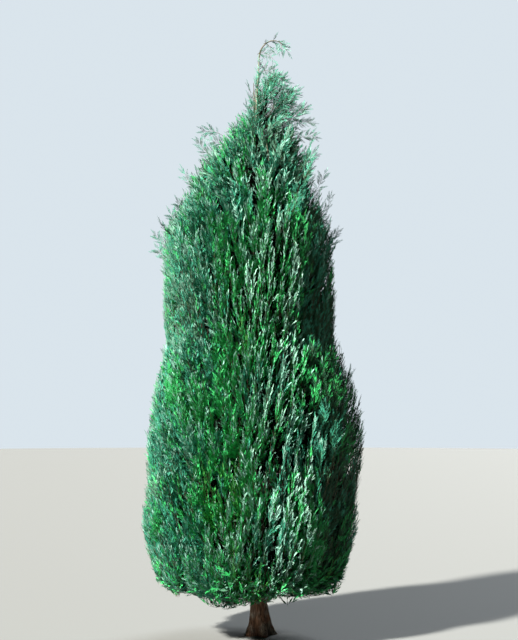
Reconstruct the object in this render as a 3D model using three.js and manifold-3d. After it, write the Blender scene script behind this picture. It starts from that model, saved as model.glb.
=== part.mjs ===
// A garden cypress 6.5 m tall: one trunk, the main boughs that rise from it, and the upright masses of
// foliage that they carry. Millimetres, +Z up. The origin is where the trunk's flat foot meets the ground,
// and the tree is seen along +Y with +X to the right.

import * as THREE from "three";
import { mergeVertices } from "three/addons/utils/BufferGeometryUtils.js";
import Module from "manifold-3d";

const wasm = await Module();
wasm.setup();

const TURN = 2 * Math.PI;

// Whole tree
const HEIGHT = 6500;
const SEED = 11;
const CLEARANCE = 0.3; // between two pieces that touch
const LEAST_EDGE = 0.02; // a join that would leave a shorter edge isn't made

// The crown's outline: height, reach to the left, reach to the right. In depth it reaches the mean of the
// two.
const OUTLINE = [
  [290, 260, 240],
  [560, 1080, 900],
  [1200, 1290, 1060],
  [2050, 1240, 1150],
  [2700, 1150, 1060],
  [3200, 1070, 860],
  [4350, 1090, 830],
  [4850, 860, 670],
  [5250, 600, 580],
  [5450, 420, 540],
  [5800, 160, 460],
  [6150, 90, 260],
  [HEIGHT, 60, 340],
];

// Trunk: a bowed, tapering stem with a buttressed foot. The nodding leader goes on from its tip.
const TRUNK_TOP = 6300;
const TRUNK_RADIUS = 88; // above the root flare
const TRUNK_TIP_RADIUS = 6;
const TRUNK_TAPER = 0.9;
const TRUNK_BOW = 107; // sideways, at mid height
const FLARE = 58; // extra radius at the ground
const FLARE_HEIGHT = 170; // over which the flare falls to about a third
const BUTTRESSES = 5;
const BUTTRESS_DEPTH = 0.3; // share of the radius at the ground
const TRUNK_SIDES = 15;
const TRUNK_STEPS = 16;
const TRUNK_CROWDING = 1.6; // how its steps crowd towards the foot, where the flare is

// Boughs: they leave the trunk one above another, slant outwards and turn upwards.
const BOUGH_STAGGER = 260; // between the lowest and the highest root of a tier
const BOUGH_TIP_SHARE = 0.42; // of the crown's reach
const BOUGH_TIP_DROP = 0.5; // below the mass's middle, as a share of its half height
const BOUGH_BEND = [0.6, 0.38]; // where it turns upwards: share of its run, share of its climb
const BOUGH_RADIUS_SHARE = 0.36; // of the trunk's radius where it leaves
const BOUGH_TIP_RADIUS = 9;
const BOUGH_TAPER = 0.8;
const BOUGH_SIDES = 5;
const BOUGH_STEPS = 3;

// Masses of foliage, tier by tier. middle is the height of a tier's masses, half their half height, drop
// how far below the middle the boughs leave the trunk, site their centre's share of the crown's reach, core
// the share of that reach that their cores fill, twigs how many they bear, and rise the climb of their
// sprays in radians above level. A tier with no drop grows straight from the trunk.
const TIERS = [
  {
    name: "skirt", count: 8, turn: 0.5, middle: 1060, half: 800, drop: 620,
    site: 0.62, core: 0.76, twigs: 5, rise: 1.05,
  },
  {
    name: "belt", count: 8, turn: 0.0, middle: 2480, half: 760, drop: 980,
    site: 0.62, core: 0.76, twigs: 5, rise: 1.12,
  },
  {
    name: "shoulder", count: 7, turn: 0.4, middle: 3880, half: 720, drop: 960,
    site: 0.6, core: 0.74, twigs: 5, rise: 1.12,
  },
  {
    name: "neck", count: 4, turn: 0.1, middle: 4930, half: 560, drop: 740,
    site: 0.56, core: 0.66, twigs: 4, rise: 1.0,
  },
  {
    name: "peak", count: 3, turn: 0.0, middle: 5660, half: 420,
    site: 0.45, core: 0, twigs: 6, rise: 0.85,
  },
  {
    name: "leader", count: 1, turn: 0.0, middle: 6330, half: 240,
    site: 0.3, core: 0, twigs: 4, rise: 0.1,
  },
];
const SQUAT = 0.5; // heights count for this much when the crown is shared out, so a mass is tall and narrow
const ANGLE_WOBBLE = 0.18; // radians
const HEIGHT_WOBBLE = 0.19; // of the half height
const ROOM = 4; // kept clear of the plane between two masses
const GROOVE = 0.14; // how far the crown draws in between two masses, as a share of its reach
const GROOVE_WIDTH = 120;

// Long thin shoots that stand out of the outline near the top: angle, height and reach of their tips
const WHIPS = [
  [3.14, 5455, 655],
  [3.0, 5300, 690],
  [0.05, 5590, 575],
  [-0.1, 5365, 600],
  [1.5, 5480, 590],
  [-1.7, 5400, 610],
];
const WHIP_RISE = 0.6; // radians above level, at their tips
const WHIP_SIZE = 0.8; // of the usual length of a spray

// Stems and twigs
const STEM_GAP = 0.35; // between a stem and the limb that it goes on from
const STEM_FOOT = 0.8; // below the middle, as a share of the half height, where it leaves the trunk
const STEM_TOP = 0.7; // above the middle
const STEM_REACH = 0.74; // of the crown's reach, at the stem's top
const STEM_BEND = [0.5, 0.8]; // where it turns, as on a bough
const STEM_RADIUS = 7.5;
const STEM_TIP_RADIUS = 5;
const CORE_ROOMS = [20, 24, 28]; // kept clear of the next mass, tried in turn until one leaves no sliver
const TWIG_TRIES = 90;
const TWIG_STARTS = 12; // places along a stem where a twig may leave it
const TWIG_RADIUS = 7;
const TWIG_TIP_RADIUS = 3;
const TWIG_CLIMB = 1.25; // for each unit outwards
const TWIG_BEND = 0.5; // share of the twig that heads the way its spray does
const TWIG_SPREAD = 1.3; // of the angle that one mass of the tier takes up
const TWIG_SPAN = 2.6; // of the half height

// The leader: its stem climbs and nods over to the right. The handles of its curve stand above the tree's
// top.
const NOD_REACH = 300;
const NOD_DROP = 120; // of its tip below the tree's top
const NOD_HANDLES = [
  [10, 25],
  [230, 62],
];

// Sprays: a flat toothed blade for each fan of foliage
const SPRAY_LENGTH = 150; // where the crown has no reach
const SPRAY_GROWTH = 0.26; // added for each unit of reach
const SPRAY_WIDTH = 0.38; // of its length
const SPRAY_THICKNESS = 0.035; // of its length, at the middle
const SPRAY_SINK = 0.2; // of its length, sunk in the twig's end
const SPRAY_SWING = 1.0; // radians either way about its own length
const SPRAY_SIZES = [1, 0.8, 0.62]; // tried in turn until one keeps within the mass
const SIDE_SPRAYS = [0.55, 0.8]; // where they leave the twig, as a share of its length
const SIDE_TURN = 0.6; // radians to either side of the twig
const SIDE_SIZE = 0.85;

// A spray's outline, along and across, each as a share of the length and of the half width. The other side
// mirrors it.
const SPRAY_TEETH = [
  [0.0, 0.0],
  [0.5, 0.95],
  [0.64, 0.4],
  [1.0, 0.0],
];
const SPRAY_MIDDLE = 0.4; // where it is thickest, along its length

const LEAF_GREEN = new THREE.MeshStandardMaterial({ color: 0x2f7d5b, roughness: 0.75, metalness: 0 });
const BARK_BROWN = new THREE.MeshStandardMaterial({ color: 0x6e5240, roughness: 0.9, metalness: 0 });

// Seeded numbers from 0 to 1, the same in every run
function seeded(seed) {
  let state = seed >>> 0;
  return () => {
    state = (Math.imul(state, 1664525) + 1013904223) >>> 0;
    return state / 4294967296;
  };
}

function share(low, high, part) {
  return low + (high - low) * part;
}

function polar(angle, radius, height) {
  return new THREE.Vector3(radius * Math.cos(angle), radius * Math.sin(angle), height);
}

// A point between two others, at a share of the run from one to the other and a share of the climb
function between(from, to, run, climb) {
  return new THREE.Vector3(share(from.x, to.x, run), share(from.y, to.y, run), share(from.z, to.z, climb));
}

// How far the crown reaches from the axis at an angle and a height, or 0 above and below it
function reach(angle, height) {
  const upper = OUTLINE.findIndex(([level]) => level >= height);
  if (upper < 1) return 0;
  const [low, high] = [OUTLINE[upper - 1], OUTLINE[upper]];
  const part = (height - low[0]) / (high[0] - low[0]);
  const left = share(low[1], high[1], part);
  const right = share(low[2], high[2], part);
  return (left + right) / 2 + ((right - left) / 2) * Math.cos(angle);
}

// Solids

function solidOf(geometry) {
  geometry.deleteAttribute("normal");
  geometry.deleteAttribute("uv");
  const merged = mergeVertices(geometry, 1e-3);
  return new wasm.Manifold(
    new wasm.Mesh({
      numProp: 3,
      vertProperties: merged.attributes.position.array,
      triVerts: new Uint32Array(merged.index.array),
    }),
  );
}

function geometryOf(solid) {
  const { vertProperties, triVerts } = solid.getMesh();
  const geometry = new THREE.BufferGeometry();
  geometry.setAttribute("position", new THREE.BufferAttribute(vertProperties, 3));
  geometry.setIndex(new THREE.BufferAttribute(triVerts, 1));
  geometry.computeVertexNormals();
  return geometry;
}

function apart(solid, other) {
  return solid.intersect(other).isEmpty();
}

// The biggest body of a solid, without loose scraps or sealed hollows
function mainBody(solid) {
  return solid.decompose().reduce((best, body) => (body.volume() > best.volume() ? body : best));
}

// Whether a solid is one body whose corners all lie well apart
function sound(solid) {
  const geometry = geometryOf(solid).deleteAttribute("normal");
  const corners = mergeVertices(geometry, LEAST_EDGE).attributes.position.count;
  return corners === solid.numVert() && solid.decompose().length === 1;
}

// A tapering limb along a curve, from a cylinder that is bent to it. radiusAt gives the radius for a share
// of the length and an angle about the curve, and grow thickens it and carries its ends on.
function limb(curve, radiusAt, sides, steps, grow = 0) {
  const geometry = new THREE.CylinderGeometry(1, 1, 1, sides, steps);
  const positions = geometry.attributes.position;
  for (let i = 0; i < positions.count; i += 1) {
    const along = positions.getY(i) + 0.5;
    const [x, y] = [positions.getX(i), -positions.getZ(i)];
    const tangent = curve.getTangent(along);
    const side = new THREE.Vector3().crossVectors(new THREE.Vector3(0, 1, 0), tangent).normalize();
    const over = new THREE.Vector3().crossVectors(tangent, side);
    const end = along === 0 ? -grow : along === 1 ? grow : 0;
    const radius = radiusAt(along, Math.atan2(y, x)) + grow;
    const point = curve.getPoint(along).addScaledVector(tangent, end);
    point.addScaledVector(side, x * radius).addScaledVector(over, y * radius);
    positions.setXYZ(i, point.x, point.y, point.z);
  }
  return solidOf(geometry);
}

// Trunk

function trunkCentre(height) {
  return new THREE.Vector3(-TRUNK_BOW * Math.sin((Math.PI * height) / HEIGHT), 0, height);
}

function trunkRadius(height, angle) {
  const taper = share(TRUNK_RADIUS, TRUNK_TIP_RADIUS, (height / TRUNK_TOP) ** TRUNK_TAPER);
  const near = Math.exp(-height / FLARE_HEIGHT);
  return (taper + FLARE * near) * (1 + BUTTRESS_DEPTH * near * Math.cos(BUTTRESSES * angle));
}

class TrunkLine extends THREE.Curve {
  getPoint(part) {
    return trunkCentre(TRUNK_TOP * part ** TRUNK_CROWDING);
  }

  getTangent(part) {
    if (part === 0) return new THREE.Vector3(0, 0, 1);
    const height = TRUNK_TOP * part ** TRUNK_CROWDING;
    return trunkCentre(height + 1).sub(trunkCentre(height - 1)).normalize();
  }
}

function trunkSolid(grow) {
  const line = new TrunkLine();
  const radiusAt = (part, angle) => trunkRadius(line.getPoint(part).z, angle);
  return limb(line, radiusAt, TRUNK_SIDES, TRUNK_STEPS, grow);
}

// The plan: where each mass has its centre, and where its bough leaves the trunk

function planMasses() {
  const random = seeded(SEED);
  return TIERS.flatMap((tier) =>
    Array.from({ length: tier.count }, (_, k) => {
      const single = tier.count === 1;
      const wobble = () => (single ? 0 : 2 * random() - 1);
      const angle = ((k + tier.turn) / tier.count) * TURN + ANGLE_WOBBLE * wobble();
      const middle = tier.middle + HEIGHT_WOBBLE * tier.half * wobble();
      const centre = polar(angle, tier.site * reach(angle, middle), middle);
      const root = tier.middle - tier.drop + BOUGH_STAGGER * (((k * 0.618) % 1) - 0.5);
      return { name: single ? tier.name : `${tier.name}_${k + 1}`, tier, angle, middle, centre, root };
    }),
  );
}

const masses = planMasses();

// How far a point lies inside a mass's share of the crown: the distance to the nearest plane that parts it
// from another mass
function roomIn(mass, point) {
  const squareTo = (centre, from) =>
    (from.x - centre.x) ** 2 + (from.y - centre.y) ** 2 + (SQUAT * (from.z - centre.z)) ** 2;
  const own = squareTo(mass.centre, point);
  const rooms = masses
    .filter((other) => other !== mass)
    .map(({ centre }) => (squareTo(centre, point) - own) / (2 * Math.sqrt(squareTo(centre, mass.centre))));
  return Math.min(...rooms);
}

// The point of the mass's outer face at an angle and a height. The face draws in towards the next mass.
function facePoint(mass, angle, height) {
  const full = reach(angle, height);
  const room = Math.max(0, roomIn(mass, polar(angle, full, height)));
  return polar(angle, full * (1 - GROOVE * Math.exp(-room / GROOVE_WIDTH)), height);
}

function fits(mass, point) {
  const outer = reach(Math.atan2(point.y, point.x), point.z);
  return Math.hypot(point.x, point.y) <= outer + CLEARANCE && roomIn(mass, point) >= ROOM;
}

// Boughs

function boughLine(mass) {
  const root = trunkCentre(mass.root);
  const height = mass.middle - BOUGH_TIP_DROP * mass.tier.half;
  const tip = polar(mass.angle, BOUGH_TIP_SHARE * reach(mass.angle, height), height);
  return new THREE.QuadraticBezierCurve3(root, between(root, tip, ...BOUGH_BEND), tip);
}

function boughSolid(mass, grow) {
  const base = BOUGH_RADIUS_SHARE * trunkRadius(mass.root, 0) + BOUGH_TIP_RADIUS / 2;
  const radiusAt = (part) => share(base, BOUGH_TIP_RADIUS, part ** BOUGH_TAPER);
  return limb(boughLine(mass), radiusAt, BOUGH_SIDES, BOUGH_STEPS, grow);
}

// Foliage

function leaderLine() {
  const start = trunkCentre(TRUNK_TOP + STEM_GAP);
  const tip = new THREE.Vector3(NOD_REACH, 0, HEIGHT - NOD_DROP);
  const handles = NOD_HANDLES.map(([x, above]) => new THREE.Vector3(x, 0, HEIGHT + above));
  return new THREE.CubicBezierCurve3(start, ...handles, tip);
}

// The stem goes on from the bough's tip, or out of the trunk, to near the top of the mass
function stemLine(mass) {
  const { tier, angle, middle } = mass;
  if (tier.name === "leader") return leaderLine();
  const top = middle + STEM_TOP * tier.half;
  const tip = polar(angle, STEM_REACH * reach(angle, top), top);
  if (tier.drop) {
    const bough = boughLine(mass);
    const ahead = bough.getTangent(1);
    const start = bough.v2.clone().addScaledVector(ahead, STEM_GAP);
    const bend = start.clone().addScaledVector(ahead, start.distanceTo(tip) / 2);
    return new THREE.QuadraticBezierCurve3(start, bend, tip);
  }
  const start = trunkCentre(middle - STEM_FOOT * tier.half);
  return new THREE.QuadraticBezierCurve3(start, between(start, tip, ...STEM_BEND), tip);
}

// A flat toothed blade from a flattened sphere: its equator takes the outline and its poles the thickness
function sprayTemplate() {
  const teeth = SPRAY_TEETH.slice(1, -1);
  const mirrored = teeth.map(([along, across]) => [along, -across]);
  const outline = [SPRAY_TEETH[0], ...mirrored, SPRAY_TEETH.at(-1), ...teeth.reverse()];
  const geometry = new THREE.SphereGeometry(1, outline.length, 2);
  geometry.deleteAttribute("normal");
  geometry.deleteAttribute("uv");
  const blade = mergeVertices(geometry, 1e-3);
  const positions = blade.attributes.position;
  for (let i = 0; i < positions.count; i += 1) {
    const [x, y, z] = [positions.getX(i), positions.getY(i), positions.getZ(i)];
    if (Math.abs(y) > 0.5) {
      positions.setXYZ(i, SPRAY_MIDDLE, 0, (Math.sign(y) * SPRAY_THICKNESS) / 2);
      continue;
    }
    const turn = (Math.atan2(z, -x) / TURN) * outline.length;
    const corner = outline[(Math.round(turn) + outline.length) % outline.length];
    positions.setXYZ(i, corner[0], (corner[1] * SPRAY_WIDTH) / 2, 0);
  }
  return blade;
}

const SPRAY = sprayTemplate();

// A spray from its root, along a direction, in the upright plane that faces sideways, swung about its own
// length
function spraySolid(root, along, length, swing) {
  const sideways = new THREE.Vector3(along.y, -along.x, 0).normalize();
  const across = new THREE.Vector3().crossVectors(sideways, along).normalize().applyAxisAngle(along, swing);
  const face = new THREE.Vector3().crossVectors(along, across);
  const place = new THREE.Matrix4().makeBasis(along, across, face);
  place.scale(new THREE.Vector3(length, length, length)).setPosition(root);
  const corners = SPRAY_TEETH.flatMap(([a, b]) => [
    new THREE.Vector3(a, (b * SPRAY_WIDTH) / 2, 0).applyMatrix4(place),
    new THREE.Vector3(a, (-b * SPRAY_WIDTH) / 2, 0).applyMatrix4(place),
  ]);
  return { solid: solidOf(SPRAY.clone().applyMatrix4(place)), corners };
}

function heading(angle, rise) {
  return polar(angle, Math.cos(rise), Math.sin(rise));
}

function sprayLength(angle, height) {
  return SPRAY_LENGTH + SPRAY_GROWTH * reach(angle, height);
}

// The twig that leaves the stem where it then climbs at the usual slope, and ends where a spray reaches its
// target
function twigTo(target, stem, angle, rise, length) {
  const along = heading(angle, rise);
  const end = target.clone().addScaledVector(along, -(1 - SPRAY_SINK) * length);
  const misfit = (part) => {
    const from = stem.getPoint(part);
    return Math.abs(end.z - from.z - TWIG_CLIMB * Math.hypot(end.x - from.x, end.y - from.y));
  };
  const parts = Array.from({ length: TWIG_STARTS }, (_, i) => (i + 0.5) / TWIG_STARTS);
  const start = stem.getPoint(parts.reduce((best, part) => (misfit(part) < misfit(best) ? part : best)));
  const bend = end.clone().addScaledVector(along, -TWIG_BEND * start.distanceTo(end));
  return { line: new THREE.QuadraticBezierCurve3(start, bend, end), target, angle, rise, length };
}

// The places where a mass's twigs may end: points of its outer face dealt out by two unlike steps, so they
// spread evenly
function twigsOf(mass, stem, random) {
  const { tier, middle } = mass;
  const spread = (TWIG_SPREAD * TURN) / Math.max(tier.count, 2);
  const [stepAcross, stepUp] = [0.7548776662, 0.569840291];
  const first = random();
  return Array.from({ length: TWIG_TRIES }, (_, k) => {
    const angle = mass.angle + spread * (((first + k * stepAcross) % 1) - 0.5);
    const height = middle + TWIG_SPAN * tier.half * (((first + k * stepUp) % 1) - 0.5);
    return twigTo(facePoint(mass, angle, height), stem, angle, tier.rise, sprayLength(angle, height));
  }).filter((twig) => fits(mass, twig.target));
}

// The long thin shoots whose tips lie in a mass's share of the crown
function whipsOf(mass, stem) {
  return WHIPS.map(([angle, height, radius]) => {
    const length = WHIP_SIZE * sprayLength(angle, height);
    return twigTo(polar(angle, radius, height), stem, angle, WHIP_RISE, length);
  }).filter(({ target }) => roomIn(mass, target) > ROOM);
}

// A dense mass's core: a ball whose every corner is pushed out until it nears the next mass or the crown's
// outline
function coreSolid(mass, room) {
  const inside = (point) => {
    const outer = reach(Math.atan2(point.y, point.x), point.z);
    return Math.hypot(point.x, point.y) <= mass.tier.core * outer && roomIn(mass, point) >= room;
  };
  const ball = new THREE.IcosahedronGeometry(1, 1);
  const positions = ball.attributes.position;
  for (let i = 0; i < positions.count; i += 1) {
    const ray = new THREE.Vector3().fromBufferAttribute(positions, i);
    ray.z /= SQUAT;
    let [near, far] = [0, 2000];
    while (far - near > 1) {
      const middle = (near + far) / 2;
      if (inside(mass.centre.clone().addScaledVector(ray, middle))) near = middle;
      else far = middle;
    }
    const corner = mass.centre.clone().addScaledVector(ray, near);
    positions.setXYZ(i, corner.x, corner.y, corner.z);
  }
  return solidOf(ball);
}

// A mass: its stem and core, and its twigs with a spray at the end and one on each side. What would leave
// the mass, touch a limb or another spray, or leave a sliver is skipped.
function massSolid(mass, limbs, random) {
  const stem = stemLine(mass);
  const bare = limb(stem, (part) => share(STEM_RADIUS, STEM_TIP_RADIUS, part), 3, 3);
  const hearts = CORE_ROOMS.map((room) => (mass.tier.core ? bare.add(coreSolid(mass, room)) : bare));
  let body = hearts.map((heart) => mainBody(heart.subtract(limbs))).find(sound);
  const sprays = [];

  const join = (solid) => {
    const joined = body.add(solid);
    if (!sound(joined)) return false;
    body = joined;
    return true;
  };
  const addSpray = (root, angle, rise, length, inside) => {
    const swing = SPRAY_SWING * (2 * random() - 1);
    for (const size of SPRAY_SIZES) {
      const { solid, corners } = spraySolid(root, heading(angle, rise), size * length, swing);
      if (!corners.every(inside) || ![limbs, ...sprays].every((other) => apart(solid, other))) continue;
      if (!join(solid)) continue;
      sprays.push(solid);
      return true;
    }
    return false;
  };
  const addTwig = ({ line, angle, rise, length }, inside) => {
    const solid = limb(line, (part) => share(TWIG_RADIUS, TWIG_TIP_RADIUS, part), 3, 1);
    const points = [0.3, 0.6, 1].map((part) => line.getPoint(part));
    if (!points.every(inside) || !apart(solid, limbs) || !join(solid)) return false;
    const root = line.v2.clone().addScaledVector(heading(angle, rise), -SPRAY_SINK * length);
    addSpray(root, angle, rise, length, inside);
    SIDE_SPRAYS.forEach((part, k) => {
      addSpray(line.getPoint(part), angle + SIDE_TURN * (k % 2 ? -1 : 1), rise, SIDE_SIZE * length, inside);
    });
    return true;
  };

  const inMass = (point) => fits(mass, point);
  const inShare = (point) => roomIn(mass, point) > ROOM;
  whipsOf(mass, stem).forEach((whip) => addTwig(whip, inShare));
  let wanted = mass.tier.twigs;
  for (const twig of twigsOf(mass, stem, random)) {
    if (wanted > 0 && addTwig(twig, inMass)) wanted -= 1;
  }
  return body;
}

// The tree

function named(name, solid, material) {
  const mesh = new THREE.Mesh(geometryOf(solid), material);
  mesh.name = name;
  return mesh;
}

function buildTree() {
  const tree = new THREE.Group();
  const random = seeded(SEED + 1);
  const aroundTrunk = trunkSolid(CLEARANCE);
  tree.add(named("trunk", trunkSolid(0), BARK_BROWN));

  const carried = masses.filter((mass) => mass.tier.drop);
  for (const mass of carried)
    tree.add(named(`bough_${mass.name}`, mainBody(boughSolid(mass, 0).subtract(aroundTrunk)), BARK_BROWN));

  const limbs = wasm.Manifold.union([aroundTrunk, ...carried.map((mass) => boughSolid(mass, CLEARANCE))]);
  for (const mass of masses)
    tree.add(named(`foliage_${mass.name}`, massSolid(mass, limbs, random), LEAF_GREEN));
  return tree;
}

export default buildTree();
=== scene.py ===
"""A garden cypress 6.5 m tall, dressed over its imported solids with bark, twigs and flat sprays of leaves."""

import math
from collections import namedtuple

import bmesh
import bpy
import numpy as np
from mathutils import Matrix, Vector, noise


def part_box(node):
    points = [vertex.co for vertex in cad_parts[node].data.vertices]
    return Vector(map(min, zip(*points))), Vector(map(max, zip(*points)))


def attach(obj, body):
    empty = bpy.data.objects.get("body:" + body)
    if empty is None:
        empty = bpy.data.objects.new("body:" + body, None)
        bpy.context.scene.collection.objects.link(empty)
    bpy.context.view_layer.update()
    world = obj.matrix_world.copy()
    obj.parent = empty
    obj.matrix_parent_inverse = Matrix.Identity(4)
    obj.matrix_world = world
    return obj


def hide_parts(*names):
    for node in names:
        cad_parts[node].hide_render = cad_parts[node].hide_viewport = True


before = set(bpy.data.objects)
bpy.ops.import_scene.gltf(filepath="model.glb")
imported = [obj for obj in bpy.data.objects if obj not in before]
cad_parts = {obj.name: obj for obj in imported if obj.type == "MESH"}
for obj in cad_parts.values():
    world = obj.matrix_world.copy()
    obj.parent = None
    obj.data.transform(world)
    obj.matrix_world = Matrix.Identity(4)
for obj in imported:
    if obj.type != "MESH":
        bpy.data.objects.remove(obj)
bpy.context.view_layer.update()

# Trunk
# One tapering stem, bowed a little to the left, that stands on a buttressed root flare with a flat foot.
# Its bark is thin, soft and reddish-brown, and it splits into long stringy ridges. It runs up whole to
# where the leader begins.
TREE_HEIGHT = 6.5
TRUNK_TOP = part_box("trunk")[1].z
TRUNK_RADIUS = 0.088
TRUNK_TIP_RADIUS = 0.006
TRUNK_TAPER = 0.9
TRUNK_BOW = 0.107
FLARE = 0.058
FLARE_HEIGHT = 0.17
BUTTRESSES = 5
BUTTRESS_DEPTH = 0.3
TRUNK_SIDES = 96
TRUNK_RINGS = 200
TRUNK_CROWDING = 1.6
FURROW_SPACING = 0.3  # of the limb's radius
FURROW_LENGTH = 3.2  # of the limb's radius
FURROW_WIDTH = 0.13
FURROW_DEPTH = 0.07  # of the limb's radius
STRAND_DEPTH = 0.05


def trunk_centre(height):
    return Vector((-TRUNK_BOW * math.sin(math.pi * height / TREE_HEIGHT), 0, height))


def trunk_radius(height, angle=math.pi / 2):
    taper = (height / TRUNK_TOP) ** TRUNK_TAPER
    near = math.exp(-height / FLARE_HEIGHT)
    radius = TRUNK_RADIUS + (TRUNK_TIP_RADIUS - TRUNK_RADIUS) * taper + FLARE * near
    return radius * (1 + BUTTRESS_DEPTH * near * math.cos(BUTTRESSES * angle))


def trunk_line(part):
    """The trunk's centre and heading at a share of its length. Its rings are level, so the foot is flat."""
    return trunk_centre(TRUNK_TOP * part**TRUNK_CROWDING), Vector((0, 0, 1))


def bark_relief(point, radius):
    """How far bark stands out or in at a point, as a share of the limb's radius."""
    across = FURROW_SPACING * radius
    along = FURROW_LENGTH * radius
    fibre = noise.noise(Vector((point.x / across, point.y / across, point.z / along)))
    strand = noise.noise(Vector((2.7 * point.x / across, 2.7 * point.y / across, 2 * point.z / along)))
    return STRAND_DEPTH * strand - FURROW_DEPTH * math.exp(-((fibre / FURROW_WIDTH) ** 2))


def clad_limb(name, line, radius_at, sides, rings, furrowed_radius):
    """A limb in its bark: a cylinder bent to its line, furrowed for a limb of a given radius."""
    limb = bmesh.new()
    bmesh.ops.create_cone(limb, cap_ends=True, segments=sides, radius1=1, radius2=1, depth=1)
    upright = [edge for edge in limb.edges if edge.verts[0].co.z * edge.verts[1].co.z < 0]
    bmesh.ops.subdivide_edges(limb, edges=upright, cuts=rings - 1)
    for vertex in limb.verts:
        part = min(max(vertex.co.z + 0.5, 0), 1)
        angle = math.atan2(vertex.co.y, vertex.co.x)
        centre, ahead = line(part)
        side = Vector((0, 1, 0)).cross(ahead).normalized()
        outward = side * math.cos(angle) + ahead.cross(side) * math.sin(angle)
        radius = radius_at(part, angle)
        relief = bark_relief(centre + radius * outward, furrowed_radius(part))
        vertex.co = centre + radius * (1 + relief) * outward
    mesh = bpy.data.meshes.new(name)
    limb.to_mesh(mesh)
    limb.free()
    mesh.shade_smooth()
    piece = bpy.data.objects.new(name, mesh)
    bpy.context.scene.collection.objects.link(piece)
    return piece


def socket(group, name, in_out, kind, default=None):
    made = group.interface.new_socket(name=name, in_out=in_out, socket_type=kind)
    if default is not None:
        made.default_value = default


def fibrous_bark():
    """A node group: long strands of bark, greyed at the tree's top, with colour, roughness and height."""
    group = bpy.data.node_groups.new("fibrous_bark", "ShaderNodeTree")
    socket(group, "Ridge", "INPUT", "NodeSocketColor")
    socket(group, "Furrow", "INPUT", "NodeSocketColor")
    socket(group, "Weathered", "INPUT", "NodeSocketColor")
    socket(group, "Strands", "INPUT", "NodeSocketFloat", 90.0)
    socket(group, "Colour", "OUTPUT", "NodeSocketColor")
    socket(group, "Roughness", "OUTPUT", "NodeSocketFloat")
    socket(group, "Height", "OUTPUT", "NodeSocketFloat")
    nodes, link = group.nodes, group.links.new
    values = nodes.new("NodeGroupInput")
    result = nodes.new("NodeGroupOutput")
    place = nodes.new("ShaderNodeTexCoord")
    stretched = nodes.new("ShaderNodeMapping")
    stretched.inputs["Scale"].default_value = (1, 1, 0.08)
    link(place.outputs["Object"], stretched.inputs["Vector"])
    strands = nodes.new("ShaderNodeTexNoise")
    strands.inputs["Detail"].default_value = 6
    strands.inputs["Roughness"].default_value = 0.6
    link(stretched.outputs["Vector"], strands.inputs["Vector"])
    link(values.outputs["Strands"], strands.inputs["Scale"])
    patches = nodes.new("ShaderNodeTexNoise")
    patches.inputs["Scale"].default_value = 9
    patches.inputs["Detail"].default_value = 3
    link(place.outputs["Object"], patches.inputs["Vector"])
    depth = nodes.new("ShaderNodeMapRange")
    depth.inputs["From Min"].default_value = 0.36
    depth.inputs["From Max"].default_value = 0.6
    link(strands.outputs["Fac"], depth.inputs["Value"])
    weather = nodes.new("ShaderNodeMapRange")
    weather.inputs["From Min"].default_value = 0.45
    weather.inputs["From Max"].default_value = 0.7
    link(patches.outputs["Fac"], weather.inputs["Value"])
    height = nodes.new("ShaderNodeSeparateXYZ")
    link(place.outputs["Object"], height.inputs["Vector"])
    greyed = nodes.new("ShaderNodeMapRange")
    greyed.inputs["From Min"].default_value = 5.0
    greyed.inputs["From Max"].default_value = 5.7
    link(height.outputs["Z"], greyed.inputs["Value"])
    palest = nodes.new("ShaderNodeMath")
    palest.operation = "MAXIMUM"
    link(weather.outputs["Result"], palest.inputs[0])
    link(greyed.outputs["Result"], palest.inputs[1])
    skin = nodes.new("ShaderNodeMix")
    skin.data_type = "RGBA"
    link(palest.outputs["Value"], skin.inputs["Factor"])
    link(values.outputs["Ridge"], skin.inputs["A"])
    link(values.outputs["Weathered"], skin.inputs["B"])
    colour = nodes.new("ShaderNodeMix")
    colour.data_type = "RGBA"
    link(depth.outputs["Result"], colour.inputs["Factor"])
    link(values.outputs["Furrow"], colour.inputs["A"])
    link(skin.outputs["Result"], colour.inputs["B"])
    rough = nodes.new("ShaderNodeMapRange")
    rough.inputs["To Min"].default_value = 0.97
    rough.inputs["To Max"].default_value = 0.78
    link(depth.outputs["Result"], rough.inputs["Value"])
    link(colour.outputs["Result"], result.inputs["Colour"])
    link(rough.outputs["Result"], result.inputs["Roughness"])
    link(strands.outputs["Fac"], result.inputs["Height"])
    return group


def bark_material(name, ridge, furrow, weathered, strands, bump):
    material = bpy.data.materials.new(name)
    material.use_nodes = True
    nodes, link = material.node_tree.nodes, material.node_tree.links.new
    shader = nodes["Principled BSDF"]
    shader.inputs["Specular IOR Level"].default_value = 0.25
    bark = nodes.new("ShaderNodeGroup")
    bark.node_tree = FIBROUS_BARK
    bark.inputs["Ridge"].default_value = (*ridge, 1)
    bark.inputs["Furrow"].default_value = (*furrow, 1)
    bark.inputs["Weathered"].default_value = (*weathered, 1)
    bark.inputs["Strands"].default_value = strands
    raised = nodes.new("ShaderNodeBump")
    raised.inputs["Strength"].default_value = 0.7
    raised.inputs["Distance"].default_value = bump
    link(bark.outputs["Colour"], shader.inputs["Base Color"])
    link(bark.outputs["Roughness"], shader.inputs["Roughness"])
    link(bark.outputs["Height"], raised.inputs["Height"])
    link(raised.outputs["Normal"], shader.inputs["Normal"])
    return material


FIBROUS_BARK = fibrous_bark()
old_bark = bark_material(
    "old_bark", (0.20, 0.105, 0.06), (0.035, 0.018, 0.011), (0.29, 0.26, 0.21), strands=110, bump=0.004
)

trunk = clad_limb(
    "trunk_bark",
    trunk_line,
    lambda part, angle: trunk_radius(trunk_line(part)[0].z, angle),
    TRUNK_SIDES,
    TRUNK_RINGS,
    lambda part: TRUNK_RADIUS,
)
trunk.data.materials.append(old_bark)
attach(trunk, "root")
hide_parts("trunk")

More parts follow.
